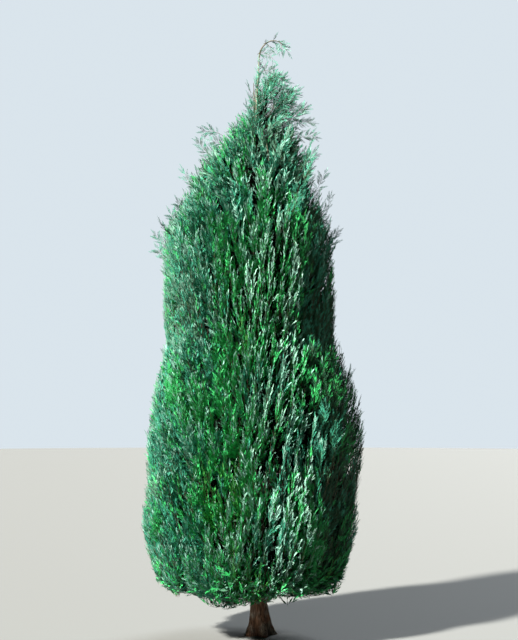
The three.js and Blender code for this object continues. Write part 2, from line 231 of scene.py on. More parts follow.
# Boughs
# The main boughs leave the trunk one above another, slant outwards and turn upwards, as they do on an
# upright cypress. They are living wood in the same stringy bark, each with a swollen collar at its foot.
OUTLINE = np.array([
    # height, reach to the left, reach to the right
    [0.29, 0.26, 0.24],
    [0.56, 1.08, 0.90],
    [1.20, 1.29, 1.06],
    [2.05, 1.24, 1.15],
    [2.70, 1.15, 1.06],
    [3.20, 1.07, 0.86],
    [4.35, 1.09, 0.83],
    [4.85, 0.86, 0.67],
    [5.25, 0.60, 0.58],
    [5.45, 0.42, 0.54],
    [5.80, 0.16, 0.46],
    [6.15, 0.09, 0.26],
    [6.50, 0.06, 0.34],
])
Tier = namedtuple("Tier", "name count turn middle half drop site rise")
TIERS = [
    Tier("skirt", 8, 0.5, 1.06, 0.80, 0.62, 0.62, 1.05),
    Tier("belt", 8, 0.0, 2.48, 0.76, 0.98, 0.62, 1.12),
    Tier("shoulder", 7, 0.4, 3.88, 0.72, 0.96, 0.60, 1.12),
    Tier("neck", 4, 0.1, 4.93, 0.56, 0.74, 0.56, 1.0),
    Tier("peak", 3, 0.0, 5.66, 0.42, 0, 0.45, 0.85),
    Tier("leader", 1, 0.0, 6.33, 0.24, 0, 0.30, 0.1),
]
SEED = 11
TURN = 2 * math.pi
ANGLE_WOBBLE = 0.18
HEIGHT_WOBBLE = 0.19
BOUGH_STAGGER = 0.26
BOUGH_TIP_SHARE = 0.42
BOUGH_TIP_DROP = 0.5
BOUGH_BEND = (0.6, 0.38)
BOUGH_RADIUS_SHARE = 0.36
BOUGH_TIP_RADIUS = 0.009
BOUGH_TAPER = 0.8
BOUGH_SIDES = 14
BOUGH_RINGS = 36
COLLAR_SWELL = 0.6
COLLAR_LENGTH = 0.07  # of the bough's length

Mass = namedtuple("Mass", "name tier angle middle centre root")


def seeded(seed):
    """Numbers from 0 to 1, the same as the ones that set out the solids."""
    state = seed
    while True:
        state = (state * 1664525 + 1013904223) % 2**32
        yield state / 2**32


def reach(angle, height):
    """How far the crown reaches from the axis, or 0 above and below it."""
    left, right = (np.interp(height, OUTLINE[:, 0], side, left=0, right=0) for side in OUTLINE.T[1:])
    return (left + right) / 2 + (right - left) / 2 * np.cos(angle)


def polar(angle, radius, height):
    return np.stack(np.broadcast_arrays(radius * np.cos(angle), radius * np.sin(angle), height), axis=-1)


def plan_masses():
    numbers = seeded(SEED)
    masses = []
    for tier in TIERS:
        for k in range(tier.count):
            angle = (k + tier.turn) / tier.count * TURN
            middle = tier.middle
            if tier.count > 1:
                angle += ANGLE_WOBBLE * (2 * next(numbers) - 1)
                middle += HEIGHT_WOBBLE * tier.half * (2 * next(numbers) - 1)
            centre = polar(angle, tier.site * reach(angle, middle), middle)
            root = tier.middle - tier.drop + BOUGH_STAGGER * (k * 0.618 % 1 - 0.5)
            name = tier.name if tier.count == 1 else f"{tier.name}_{k + 1}"
            masses.append(Mass(name, tier, angle, middle, centre, root))
    return masses


def curve(handles, part):
    """Points of a Bezier curve with three or four handles, at shares of its length."""
    handles = np.asarray(handles, float)
    part = np.asarray(part, float)[..., None]
    while len(handles) > 1:
        handles = [(1 - part) * a + part * b for a, b in zip(handles[:-1], handles[1:])]
    return handles[0]


def between(start, end, run, climb):
    return start + (end - start) * np.array([run, run, climb])


def bough_handles(mass):
    root = np.array(trunk_centre(mass.root))
    height = mass.middle - BOUGH_TIP_DROP * mass.tier.half
    tip = polar(mass.angle, BOUGH_TIP_SHARE * reach(mass.angle, height), height)
    return root, between(root, tip, *BOUGH_BEND), tip


def dress_bough(mass):
    handles = bough_handles(mass)
    foot_radius = BOUGH_RADIUS_SHARE * trunk_radius(mass.root) + BOUGH_TIP_RADIUS / 2

    def radius_at(part, angle=0):
        collar = 1 + COLLAR_SWELL * math.exp(-part / COLLAR_LENGTH)
        return (foot_radius + (BOUGH_TIP_RADIUS - foot_radius) * part**BOUGH_TAPER) * collar

    def line(part):
        here, ahead = curve(handles, part), curve(handles, part + 0.001) - curve(handles, part - 0.001)
        return Vector(here), Vector(ahead).normalized()

    bough = clad_limb(f"bark_{mass.name}", line, radius_at, BOUGH_SIDES, BOUGH_RINGS, radius_at)
    bough.data.materials.append(old_bark)
    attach(bough, "root")
    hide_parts(f"bough_{mass.name}")


masses = plan_masses()
for mass in masses:
    if mass.tier.drop:
        dress_bough(mass)

# Twigs
# Each mass grows on from its bough's tip, or straight from the trunk, as one stem. Twigs branch from the
# stem and plumes from them, and the plumes' tips spread evenly over the mass's outer face. Each plume is a
# steep shoot with finer ones close beside it. Their bark is thin and brown.
SQUASH = np.array([1, 1, 0.5])
ROOM = 0.004
GROOVE = 0.05
GROOVE_WIDTH = 0.12
STEM_GAP = 0.00035
STEM_FOOT = 0.8
STEM_TOP = 0.7
STEM_REACH = 0.74
STEM_BEND = (0.5, 0.8)
STEM_RADIUS, STEM_TIP_RADIUS = 0.0095, 0.003
STEM_POINTS = 13
NOD_REACH = 0.3
NOD_DROP = 0.12
NOD_HANDLES = ((0.01, 0.025), (0.23, 0.062))
STEP_ACROSS, STEP_UP = 0.7548776662, 0.569840291
TWIG_SPREAD = 1.3
TWIG_SPAN = 2.6
TWIG_CELL = 0.16  # square metres of the crown's face for each main twig
TWIG_CLIMB = 1.25
TWIG_BEND = 0.5
STEEPER_COST = 0.4  # what a steeper climb than usual counts, against a flatter one
TWIG_FOOT_RADIUS, TWIG_TIP_RADIUS = 0.0075, 0.003
TWIG_POINTS = 7
TWIG_SHORT = (0.15, 0.26)  # how far before the face a main twig ends: a length, and a share of the reach
BOUGH_TWIGS = 0.35  # share of a bough past which it bears twigs of its own
LOW_EDGE = 0.3
LOW_RISE = 0.7  # share of the usual rise at the crown's lower edge
LOW_DEPTH = 0.8
PLUME_CELL = 0.0245  # square metres of the crown's face for each plume
PLUME_CROWDING = np.array([(0.4, 1.0), (4.2, 1.1), (5.0, 1.8)])  # how much closer they stand, by height
PLUME_STRAY = 0.12
PLUME_STEEPER = 0.18  # radians by which a plume climbs more steeply than a twig
PLUME_SHORT = 0.1
PLUME_LENGTH = (0.6, 1.1)
SHORTER_COST, LONGER_COST = 1.5, 0.5  # what a plume shorter or longer than it likes to be counts
PLUME_BEND = 0.8
LEAST_BEND = 0.12  # of a twig's length
LEAST_CLIMB = 0.05
PLUME_RADIUS, PLUME_TIP_RADIUS = 0.0042, 0.0012
SHOOTS = 5
SHOOT_DROP = 0.62  # from the plume's tip down to the lowest shoot's tip
SHOOT_SHARE = 0.7  # of the plume's length, where that is less
SHOOT_LENGTH = (0.15, 0.26)
SHOOT_ASIDE = (0.01, 0.05)  # at the plume's tip and at its foot
SHOOT_OUT = 0.05
SHOOT_RANGE = (0.2, 1)  # the least and most of their place and of how far they stand out
SHOOT_SIDES = (0.5, 1.4)
SHOOT_BELLY = 0.7
SHOOT_TURN = 0.12  # radians by which a shoot's plate turns to its side
SHOOT_HALF = 0.09  # a shoot whose half is shorter stands out less
SHOOT_RADIUS, SHOOT_TIP_RADIUS = 0.0022, 0.001
LOOSE_SHOOTS = {
    # foot, middle and tip of each loose shoot at the top of the tree
    "leader": [
        [(-0.03, 0, 6.34), (0.07, -0.03, 6.38), (0.15, -0.05, 6.26)],
        [(-0.03, 0, 6.25), (0.02, 0.06, 6.28), (0.06, 0.11, 6.18)],
        [(-0.04, 0, 6.02), (0.02, -0.02, 6.24), (0.22, -0.05, 6.07)],
        [(0.04, 0, 6.46), (0.08, -0.04, 6.47), (0.12, -0.06, 6.38)],
        [(0.12, 0, 6.5), (0.17, 0.03, 6.5), (0.20, 0.05, 6.41)],
        [(0.20, 0, 6.49), (0.23, -0.03, 6.47), (0.25, -0.04, 6.38)],
        [(-0.06, 0, 5.80), (-0.1, -0.02, 5.86), (-0.12, -0.03, 5.94)],
        [(-0.06, 0, 5.72), (-0.11, 0.03, 5.8), (-0.13, 0.05, 5.88)],
        [(-0.06, 0, 5.56), (-0.11, -0.03, 5.62), (-0.14, -0.06, 5.72)],
    ],
    "peak": [
        [(0.1, 0, 5.3), (0.40, 0.02, 5.62), (0.57, 0.03, 5.57)],
        [(0.1, 0.03, 5.38), (0.36, 0.09, 5.72), (0.48, 0.12, 5.74)],
        [(0.1, -0.04, 5.34), (0.34, -0.12, 5.6), (0.5, -0.18, 5.66)],
    ],
    "neck": [
        [(0.16, -0.03, 5.16), (0.42, -0.07, 5.42), (0.59, -0.09, 5.37)],
        [(-0.2, 0, 5.16), (-0.42, -0.02, 5.5), (-0.61, -0.03, 5.44)],
        [(-0.22, 0.02, 5.1), (-0.42, 0.05, 5.36), (-0.53, 0.07, 5.36)],
        [(-0.3, -0.1, 5.0), (-0.6, -0.14, 5.14), (-0.66, -0.15, 5.28)],
        [(0.02, 0.2, 5.2), (0.04, 0.46, 5.52), (0.05, 0.57, 5.47)],
        [(-0.05, -0.22, 5.12), (-0.08, -0.46, 5.42), (-0.09, -0.58, 5.40)],
        [(-0.5, -0.05, 4.6), (-0.76, -0.06, 4.78), (-0.82, -0.07, 4.95)],
        [(0.3, -0.05, 4.9), (0.5, -0.06, 5.05), (0.58, -0.07, 5.18)],
        [(0.45, -0.05, 4.55), (0.64, -0.07, 4.75), (0.7, -0.08, 4.94)],
        [(0.55, 0, 4.35), (0.72, -0.02, 4.5), (0.78, -0.03, 4.7)],
    ],
}
TUFTS = {
    # open shoots: their number, the ranges of their feet's height, climb and reach, their spread and bow
    "leader": (64, (5.36, 5.92), (0.14, 0.3), (0.75, 0.98), 1.8, 0.5),
    "peak": (48, (5.12, 5.5), (0.18, 0.3), (0.12, 0.75), math.pi, 0.5),
    "neck": (44, (3.6, 4.75), (0.5, 0.62), (0.95, 1.07), math.pi, 0.85),
}
LOOSE_FROM = 3.9  # above this height the crown's face grows uneven and its shoots lean more ways
LOOSE_OVER = 1.2
UNEVEN = 0.17
LEANING = (0.5, 0.45)
CLOSED_TOP = 5.62  # height up to which the top is closed by plumes
LOOSE_RADIUS, LOOSE_TIP_RADIUS = 0.003, 0.001
LOOSE_POINTS = 7
ASKEW = (0.3, 0.95, 0.05)  # a heading that no twig has, from which its round is set out

growth = np.random.default_rng(SEED)
centres = np.array([mass.centre for mass in masses])


def room_in(mass, points):
    """How far each point lies inside a mass's share of the crown, from the planes to the next masses."""
    own = masses.index(mass)
    squares = (((points[:, None] - centres) * SQUASH) ** 2).sum(axis=2)
    apart = 2 * np.linalg.norm((centres - mass.centre) * SQUASH, axis=1)
    apart[own] = 1
    rooms = (squares - squares[:, [own]]) / apart
    rooms[:, own] = np.inf
    return rooms.min(axis=1)


def face_radius(mass, angle, height):
    """How far out a mass's outer face lies. It draws in towards the next mass."""
    full = reach(angle, height)
    room = np.maximum(0, room_in(mass, polar(angle, full, height)))
    return full * (1 - GROOVE * np.exp(-room / GROOVE_WIDTH))


def stem_handles(mass):
    tier = mass.tier
    if tier.name == "leader":
        start = np.array(trunk_centre(TRUNK_TOP + STEM_GAP))
        middle = [np.array([x, 0, TREE_HEIGHT + above]) for x, above in NOD_HANDLES]
        return start, *middle, np.array([NOD_REACH, 0, TREE_HEIGHT - NOD_DROP])
    top = mass.middle + STEM_TOP * tier.half
    tip = polar(mass.angle, STEM_REACH * reach(mass.angle, top), top)
    if tier.drop:
        root, bend, start = bough_handles(mass)
        ahead = (start - bend) / np.linalg.norm(start - bend)
        return start, start + ahead * np.linalg.norm(tip - start) / 2, tip
    start = np.array(trunk_centre(mass.middle - STEM_FOOT * tier.half))
    return start, between(start, tip, *STEM_BEND), tip


def targets_of(mass, cell):
    """Points of a mass's outer face, spread evenly, one for each cell of a given area."""
    spread = TWIG_SPREAD * TURN / max(mass.tier.count, 2)
    span = TWIG_SPAN * mass.tier.half
    tries = int(spread * reach(mass.angle, mass.middle) * span / cell)
    steps = np.arange(tries)
    first = growth.random()
    angle = mass.angle + spread * ((first + steps * STEP_ACROSS) % 1 - 0.5)
    height = mass.middle + span * ((first + steps * STEP_UP) % 1 - 0.5)
    points = polar(angle, face_radius(mass, angle, height), height)
    kept = (room_in(mass, points) >= ROOM) & (reach(angle, height) > 0)
    return points[kept], angle[kept]


def plume_targets():
    """Angles and heights spread evenly over the crown's face, and the number of the mass each falls to."""
    heights = np.linspace(LOW_EDGE, CLOSED_TOP, 500)
    girth = TURN * (reach(0, heights) + reach(math.pi, heights)) / 2
    crowded = np.cumsum(girth * np.interp(heights, *PLUME_CROWDING.T))
    steps = np.arange(int(crowded[-1] * (heights[1] - heights[0]) / PLUME_CELL))
    height = np.interp(crowded[-1] * (steps * STEP_UP % 1), crowded, heights)
    angle = TURN * (steps * STEP_ACROSS % 1)
    points = polar(angle, reach(angle, height), height) + PLUME_STRAY * growth.normal(size=(len(steps), 3))
    squares = (((points[:, None] - centres[:-1]) * SQUASH) ** 2).sum(axis=2)
    return angle, height, squares.argmin(axis=1)


def unit(vectors):
    return vectors / np.linalg.norm(vectors, axis=-1, keepdims=True)


def heading(angle, rise):
    return polar(angle, np.cos(rise), np.sin(rise))


def rise_at(tier, height):
    """The climb of a mass's shoots. They lie flatter near the crown's lower edge."""
    up = np.clip((height - LOW_EDGE) / LOW_DEPTH, 0, 1)
    return tier.rise * (LOW_RISE + (1 - LOW_RISE) * up)


def looseness(height):
    return np.clip((height - LOOSE_FROM) / LOOSE_OVER, 0, 1)


def bent_lines(handles, points):
    """Many curves at once, as points along each. Each handle is an array with a row for each curve."""
    return np.stack([curve(handles, part) for part in np.linspace(0, 1, points)], axis=1)


def grow_twigs(starts, ends, ahead, likely, bend, points):
    """Each twig leaves the start from which it climbs at about the usual slope, and arrives heading ahead.
    One with a likely length also keeps to that, and goes little aside. A low one turns up near its tip."""
    gap = ends[:, None] - starts
    run = np.linalg.norm(gap[..., :2], axis=2)
    misfit = gap[..., 2] - TWIG_CLIMB * run
    if likely is not None:
        misfit = np.where(misfit > 0, STEEPER_COST * misfit, misfit)
        flat = unit(ahead[:, None, :2])
        misfit = np.abs(misfit) + np.abs(gap[..., 0] * flat[..., 1] - gap[..., 1] * flat[..., 0])
        short = likely[:, None] - np.linalg.norm(gap, axis=2)
        misfit += np.maximum(SHORTER_COST * short, -LONGER_COST * short)
    misfit = np.abs(misfit)
    chosen = starts[misfit.argmin(axis=1)]
    length = np.linalg.norm(ends - chosen, axis=1)
    climb = (ends[:, 2] - chosen[:, 2]) / ahead[:, 2]
    straight = np.clip(climb, LEAST_BEND * length, bend * length)
    return bent_lines([chosen, ends - straight[:, None] * ahead, ends], points)


def on_lines(lines, back):
    """The point and heading of each line at a distance before its tip."""
    steps = np.diff(lines, axis=1)
    long = np.linalg.norm(steps, axis=2).sum(axis=1)
    part = np.clip(1 - back / long, 0, 1) * (lines.shape[1] - 1)
    low = np.minimum(part.astype(int), lines.shape[1] - 2)
    rows = np.arange(len(lines))
    return lines[rows, low] + steps[rows, low] * (part - low)[:, None], unit(steps[rows, low])


def from_to(pair, part):
    return pair[0] + (pair[1] - pair[0]) * part


def side_shoots(lines, angle):
    """The shoots beside each plume, one below another, to its left and right in turn, and their plates."""
    count = len(lines)
    across, outward = polar(angle + TURN / 4, 1.0, 0.0), polar(angle, 1.0, 0.0)
    shoots, plates = [], []
    long = np.linalg.norm(np.diff(lines, axis=1), axis=2).sum(axis=1)
    for k in range(SHOOTS):
        part = (k + growth.uniform(*SHOOT_RANGE, size=count)) / SHOOTS
        side = (1 if k % 2 else -1) * growth.uniform(*SHOOT_SIDES, size=count)
        aside = side * from_to(SHOOT_ASIDE, part)
        moved = aside[:, None] * across
        moved = moved + SHOOT_OUT * growth.uniform(*SHOOT_RANGE, size=(count, 1)) * outward
        length = growth.uniform(*SHOOT_LENGTH, size=count)
        drop = np.minimum(SHOOT_DROP, SHOOT_SHARE * long) * part
        top, _ = on_lines(lines, drop)
        foot, along = on_lines(lines, drop + length)
        half = np.linalg.norm(top - foot, axis=1)[:, None] / 2
        moved *= np.minimum(1, half / SHOOT_HALF)
        middle = foot + half * along + SHOOT_BELLY * moved
        shoots.append(bent_lines([foot, middle, top + moved], 3))
        plates.append(angle + SHOOT_TURN * side)
    return np.concatenate(shoots), np.concatenate(plates)


def tuft(count, feet, climb, reached, spread, bow):
    """The handles of open shoots that leave the trunk between two heights, centred on the right."""
    steps = np.arange(count)
    foot = feet[0] + (feet[1] - feet[0]) * steps / count
    angle = spread * (2 * (steps * STEP_ACROSS % 1) - 1)
    top = foot + growth.uniform(*climb, size=count)
    radius = growth.uniform(*reached, size=count) * reach(angle, top)
    feet = np.array([trunk_centre(height) for height in foot])
    middle = polar(angle, bow * radius, (foot + top) / 2)
    return [feet, middle, polar(angle, radius, top)]


def loose_shoots(tier):
    handles = np.swapaxes(np.array(LOOSE_SHOOTS[tier.name], float), 0, 1)
    return bent_lines([np.concatenate(pair) for pair in zip(handles, OPEN_SHOOTS[tier.name])], LOOSE_POINTS)


def round_twigs(lines, foot_radius, tip_radius, sides):
    """Many tapering closed twigs, as corners and triangles. lines holds each twig's centre line."""
    count, points = lines.shape[:2]
    ahead = unit(np.gradient(lines, axis=1))
    side = unit(np.cross(ASKEW, ahead))
    over = np.cross(ahead, side)
    turn = TURN * np.arange(sides) / sides
    radius = np.linspace(foot_radius, tip_radius, points)[:, None, None]
    ring = np.cos(turn)[:, None] * side[:, :, None] + np.sin(turn)[:, None] * over[:, :, None]
    corners = (lines[:, :, None] + radius * ring).reshape(-1, 3)
    pattern = []
    for low in range(0, (points - 1) * sides, sides):
        for k in range(sides):
            a, b = low + k, low + (k + 1) % sides
            pattern += [(a, b, b + sides), (a, b + sides, a + sides)]
    last = (points - 1) * sides
    pattern += [(0, k + 1, k) for k in range(1, sides - 1)]
    pattern += [(last, last + k, last + k + 1) for k in range(1, sides - 1)]
    offsets = np.arange(count)[:, None, None] * points * sides
    return corners, (np.array(pattern) + offsets).reshape(-1, 3)


def joined(name, parts, material, tier):
    """One piece from many small closed or flat shapes, which stands for the masses of a tier."""
    corners = np.concatenate([part[0] for part in parts])
    firsts = np.cumsum([0] + [len(part[0]) for part in parts[:-1]])
    triangles = np.concatenate([part[1] + first for part, first in zip(parts, firsts)])
    mesh = bpy.data.meshes.new(name)
    mesh.from_pydata(corners, [], triangles)
    mesh.materials.append(material)
    piece = bpy.data.objects.new(name, mesh)
    bpy.context.scene.collection.objects.link(piece)
    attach(piece, "root")
    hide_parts(*(f"foliage_{mass.name}" for mass in masses if mass.tier.name == tier))
    return piece


OPEN_SHOOTS = {name: tuft(*values) for name, values in TUFTS.items()}
young_bark = bark_material(
    "young_bark", (0.07, 0.05, 0.03), (0.028, 0.018, 0.011), (0.14, 0.13, 0.09), strands=260, bump=0.001
)

Growth = namedtuple("Growth", "mass twigs plumes plume_angle shoots plates")
plume_angles, plume_heights, plume_owners = plume_targets()
grown = []
for mass in masses:
    if mass.tier.name == "leader":
        continue
    stem = curve(stem_handles(mass), np.linspace(0, 1, STEM_POINTS))
    bough = curve(bough_handles(mass), np.linspace(BOUGH_TWIGS, 1, 5)) if mass.tier.drop else stem[:1]
    targets, twig_angle = targets_of(mass, TWIG_CELL)
    ahead = heading(twig_angle, rise_at(mass.tier, targets[:, 2]))
    short = TWIG_SHORT[0] + TWIG_SHORT[1] * reach(twig_angle, targets[:, 2])
    ends = targets - short[:, None] * ahead
    held = ends[:, 2] > bough[0, 2]
    starts = np.concatenate([bough, stem[1:]])
    twigs = grow_twigs(starts, ends[held], ahead[held], None, TWIG_BEND, TWIG_POINTS)
    lower = TIERS[max(TIERS.index(mass.tier) - 1, 0)]
    near = [group.twigs for group in grown if group.mass.tier == lower] + [twigs]
    starts = np.concatenate([bough, stem[1:]] + [lines[:, 1:].reshape(-1, 3) for lines in near])
    held = (plume_owners == masses.index(mass)) & (plume_heights > starts[:, 2].min() + LEAST_CLIMB)
    plume_angle, height = plume_angles[held], plume_heights[held]
    loose = looseness(height)
    uneven, lean, flatter = loose * growth.random(size=(3, len(height)))
    targets = polar(plume_angle, face_radius(mass, plume_angle, height) - UNEVEN * uneven, height)
    rise = rise_at(mass.tier, height) + PLUME_STEEPER - LEANING[1] * flatter
    ahead = heading(plume_angle + LEANING[0] * (2 * lean - loose), rise)
    likely = growth.uniform(*PLUME_LENGTH, size=len(height))
    ends = targets - PLUME_SHORT * ahead
    plumes = grow_twigs(starts, ends, ahead, likely, PLUME_BEND, TWIG_POINTS)
    shoots, plates = side_shoots(plumes, plume_angle)
    grown.append(Growth(mass, twigs, plumes, plume_angle, shoots, plates))

for tier in TIERS:
    stations = np.linspace(0, 1, STEM_POINTS)
    stems = [curve(stem_handles(mass), stations) for mass in masses if mass.tier == tier]
    parts = [round_twigs(np.array(stems), STEM_RADIUS, STEM_TIP_RADIUS, sides=8)]
    if tier.name in LOOSE_SHOOTS:
        parts.append(round_twigs(loose_shoots(tier), LOOSE_RADIUS, LOOSE_TIP_RADIUS, sides=4))
    for group in grown:
        if group.mass.tier == tier:
            parts.append(round_twigs(group.twigs, TWIG_FOOT_RADIUS, TWIG_TIP_RADIUS, sides=5))
            parts.append(round_twigs(group.plumes, PLUME_RADIUS, PLUME_TIP_RADIUS, sides=4))
            parts.append(round_twigs(group.shoots, SHOOT_RADIUS, SHOOT_TIP_RADIUS, sides=3))
    joined(f"twigs_{tier.name}", parts, young_bark, tier.name)

# Sprays
# Flat fans of tiny overlapping scale leaves. Each has a rib with toothed sprigs on both sides, and fans
# stand along a shoot in one upright plane, like the pages of an open book. The foliage is firm and matt,
# with a waxy blue-white bloom that is strongest on the young tips.
# Their tints hold painted light and shade too: paler at the face, front right, top and left edge, darker
# inside and right.
SPRIG_SPAN = (0.06, 0.86)
SPRIG_ANGLES = (0.35, 0.18)
SPRIG_LENGTHS = (0.45, 0.25)
SPRIG_WIDTH = 0.14
SPRIG_ROLL = 0.42
SPRIG_LIFT = 0.1
SPRIG_STRAY, SPRIG_SWING = 0.02, 0.08  # along the rib, and in radians
SPRIG_UNEVEN = (0.85, 1.15)
YOUNG_SPRIGS = 0.5  # share of the rib past which the sprigs are young
FAN_KINDS = 10
FAN_SPRIGS = 10
PLAIN_SPRIGS = 6
PLAIN_WIDTH = 0.27
FINE_BEND, PLAIN_BEND = 0.16, 0.2
FAN_SPACING = 0.044
FAN_COUNT = 5
FAN_LENGTH = (0.15, 0.2)
FAN_OPENING = np.array([(0.12, 0.36), (0.3, 0.7)])  # in the even crown and at its loose top
FAN_ROLL = 0.15
FAN_STRAY = 0.07
FAN_SHIFT = 0.008
OPENING_STRAY = 0.1
PLATE_SWIRL = -0.2  # radians by which all plates are turned round the trunk
PLATE_TURN = 0.1
PLATE_DRIFT = 0.4
DRIFT_SIZE = 0.6  # metres over which the plates' turn drifts
PLATE_LOOSE = 0.7
FLAT_SIDE = 1.6  # radians by which the plates on the crown's right side lie flatter against it
FLAT_FROM, FLAT_TO = 0.42, 0.68  # cosines between which that side begins
LEAST_FAN = 0.45
NEXT_OVERLAP = 0.42  # how far a fan may reach in among those of the next mass
PROUD, SUNK = 0.06, 0.05  # a plume's fans end from SUNK inside the face to PROUD above that
LOOSE_PROUD = 0.1
DETAILED_DEPTH = 0.065  # below the crown's face, past which the sprigs are plain
LOOSE_SPACING = 0.02
LOOSE_COUNT = 12
LOOSE_LENGTH = (0.07, 0.12)
LOOSE_OPENING = np.array([0.5, 0.9])
LOOSE_SHADE, LOOSE_STRAY = 1.1, 0.8
HANGING, HANGING_STRAY = (0.3, 0, -1), 0.4
NOD_BARE = 0.35  # share of the leader's stem that bears no sprays
FAN_SCALE = {"neck": 0.85, "peak": 0.65}
TINTS = {
    # deep is a darker copy of green, dealt out mostly as painted shade inside the crown and on its right side
    "deep": (0.003, 0.046, 0.018),
    "green": (0.011, 0.205, 0.050),
    "teal": (0.016, 0.150, 0.092),
    "yellow_green": (0.030, 0.205, 0.034),
    # misty is dealt out mostly at the crown's left edge, as painted sheen
    "misty": (0.062, 0.160, 0.108),
    "bloomed": (0.130, 0.285, 0.222),
    "pale_tip": (0.235, 0.430, 0.330),
}
LADDERS = [
    # tints from the darkest spray of a plume to its palest, for the four hues of plume; the steps carry bloom,
    # painted light and painted shade
    ("deep", "green", "green", "bloomed", "pale_tip"),
    ("deep", "teal", "teal", "bloomed", "bloomed"),
    ("deep", "green", "yellow_green", "yellow_green", "pale_tip"),
    ("deep", "teal", "misty", "misty", "misty"),
]
OLD_DARKER, YOUNG_PALER = 0.35, 0.65  # steps of the ladder
FILL_DISTANCES = (0.0, 0.11, 0.22)
FILL_CLIMB = (0.7, 1.25)
FILL_SPREAD = 0.6
FILL_LEAST = 0.1
FILL_LEFT = 0.6
FILL_SHADE, FILL_STRAY = 1.3, 0.5
FILL_SUNK = 0.02
FILL_TEAL = 0.2
LOW_SPRAYS = 0.75  # the height below which sprays point every way round
LOW_DISTANCES = (0.0,)
LOW_PLUMES = np.arange(0.1, 0.7, 0.15)
LOW_CLIMB = (-0.5, 1.0)
LOW_SHADE, LOW_STRAY = 0.7, 0.4
HUE_SIZE, HUE_STRAY = 0.5, 0.12
HUE_SHIFT = Vector((7, 3, 5))
HUE_STEPS = (-0.5, 0.2, 0.7)
HUE_LADDER = np.array([2, 0, 1, 3])  # the ladder of each step of hue
PAINTED_SHEEN_LEFT = 1.1  # added to the hue at the crown's left edge, whose misty tints are painted sheen
TEAL_TOP = 0.4
PLUME_SHADE, PLUME_STRAY_SHADE = 1.75, 0.35
SHADE_SIZE = 0.4  # metres over which the shade drifts
ORDER_SHADE = 0.12
SPRAY_STRAY_SHADE = 0.6
# painted light: sprays are dealt lighter tints towards the crown's front right and at its top
PAINTED_LIGHT_SIDE = -1.3
PAINTED_LIGHT = 1.0
# painted light on the crown's lit left: the steps there are drawn together towards EVEN_SHADE, and its very
# edge gets lighter tints
EVEN_LEFT = 0.6
EVEN_SHADE = 1.35
PAINTED_LIGHT_LEFT = 0.2
# painted shade: sprays on the crown's right side are dealt darker tints
SHADED_SIDE = 2.4
PAINTED_LIGHT_TOP, PAINTED_LIGHT_FROM = 0.6, 4
# painted shade: the hue on the crown's right side is drawn towards teal
SHADED_TEAL = 0.2
# painted shade: steps of tint lost for each metre a fan lies inside the crown's face
PAINTED_SHADE_INSIDE = 5.0
# paler near the crown's face: partly the bloom of the outer shoots, partly painted light
FACE_BLOOM_AND_LIGHT, BLOOM_AND_LIGHT_DEPTH = 1.2, 0.05
LEAF_GLOSS = 0.3
MOTTLE_GAIN = 1.45


def turned(points, axis, angle):
    return points @ np.array(Matrix.Rotation(angle, 3, axis)).T


def toothed_sprig():
    """A sprig of unit length: a slender midrib with a tooth on each side that points forwards."""
    w = SPRIG_WIDTH / 2
    midrib = [(0, 0, 0), (0.5, 0.6 * w, 0), (0.45, -0.6 * w, 0), (1, 0, 0)]
    teeth = [(0.62, 1.3 * w, -0.04), (0.8, -1.1 * w, -0.03)]
    return np.array(midrib + teeth, float), np.array([(0, 2, 1), (1, 2, 3), (0, 1, 4), (2, 5, 3)])


def plain_sprig():
    """A sprig of unit length as a slender kite, for the depth of the crown."""
    w = PLAIN_WIDTH / 2
    kite = [(0, 0, 0), (0.5, w, 0), (0.45, -w, 0), (1, 0, 0)]
    return np.array(kite), np.array([(0, 2, 1), (1, 2, 3)])


def fan_kind(chance, shape, sprigs, bend):
    """One kind of fan of unit length, as its old sprigs and its young ones, each as corners and triangles."""
    old, young = [], []
    for k in range(sprigs + 1):
        part = k / sprigs
        station = from_to(SPRIG_SPAN, part) + SPRIG_STRAY * chance.normal()
        side = 0 if k == sprigs else (-1) ** k
        angle = side * from_to(SPRIG_ANGLES, part) + SPRIG_SWING * chance.normal()
        length = from_to(SPRIG_LENGTHS, part) * chance.uniform(*SPRIG_UNEVEN)
        corners = turned(length * shape[0], "X", SPRIG_ROLL * chance.normal())
        corners = turned(turned(corners, "Y", SPRIG_LIFT * chance.normal()), "Z", angle) + (station, 0, 0)
        group = young if station > YOUNG_SPRIGS else old
        group.append((corners, shape[1] + sum(len(part[0]) for part in group)))
    kinds = []
    for parts in (old, young):
        corners = np.concatenate([part[0] for part in parts])
        corners[:, 2] += bend * corners[:, 0] ** 2
        kinds.append((corners, np.concatenate([part[1] for part in parts])))
    return kinds


RIB = (
    # a slender spike on three corners, for a fan of unit length
    np.array([(0, 0.009, 0), (0, -0.005, 0.008), (0, -0.005, -0.008), (0.9, 0, 0)]),
    np.array([(0, 1, 3), (1, 2, 3), (2, 0, 3), (0, 2, 1)]),
)

Fans = namedtuple("Fans", "roots ahead face lengths order owner")


def picked(fans, chosen):
    return Fans(*(values[chosen] for values in fans))


def tips_of(fans):
    return fans.roots + fans.lengths[:, None] * fans.ahead


def place(shape, fans):
    """A shape set at each fan, as corners and triangles."""
    corners, triangles = shape
    frames = np.stack([fans.ahead, np.cross(fans.face, fans.ahead), fans.face], axis=1)
    placed = np.einsum("ck,nkj->ncj", corners, frames) * fans.lengths[:, None, None]
    placed += fans.roots[:, None]
    offsets = np.arange(len(placed))[:, None, None] * len(corners)
    return placed.reshape(-1, 3), (triangles + offsets).reshape(-1, 3)


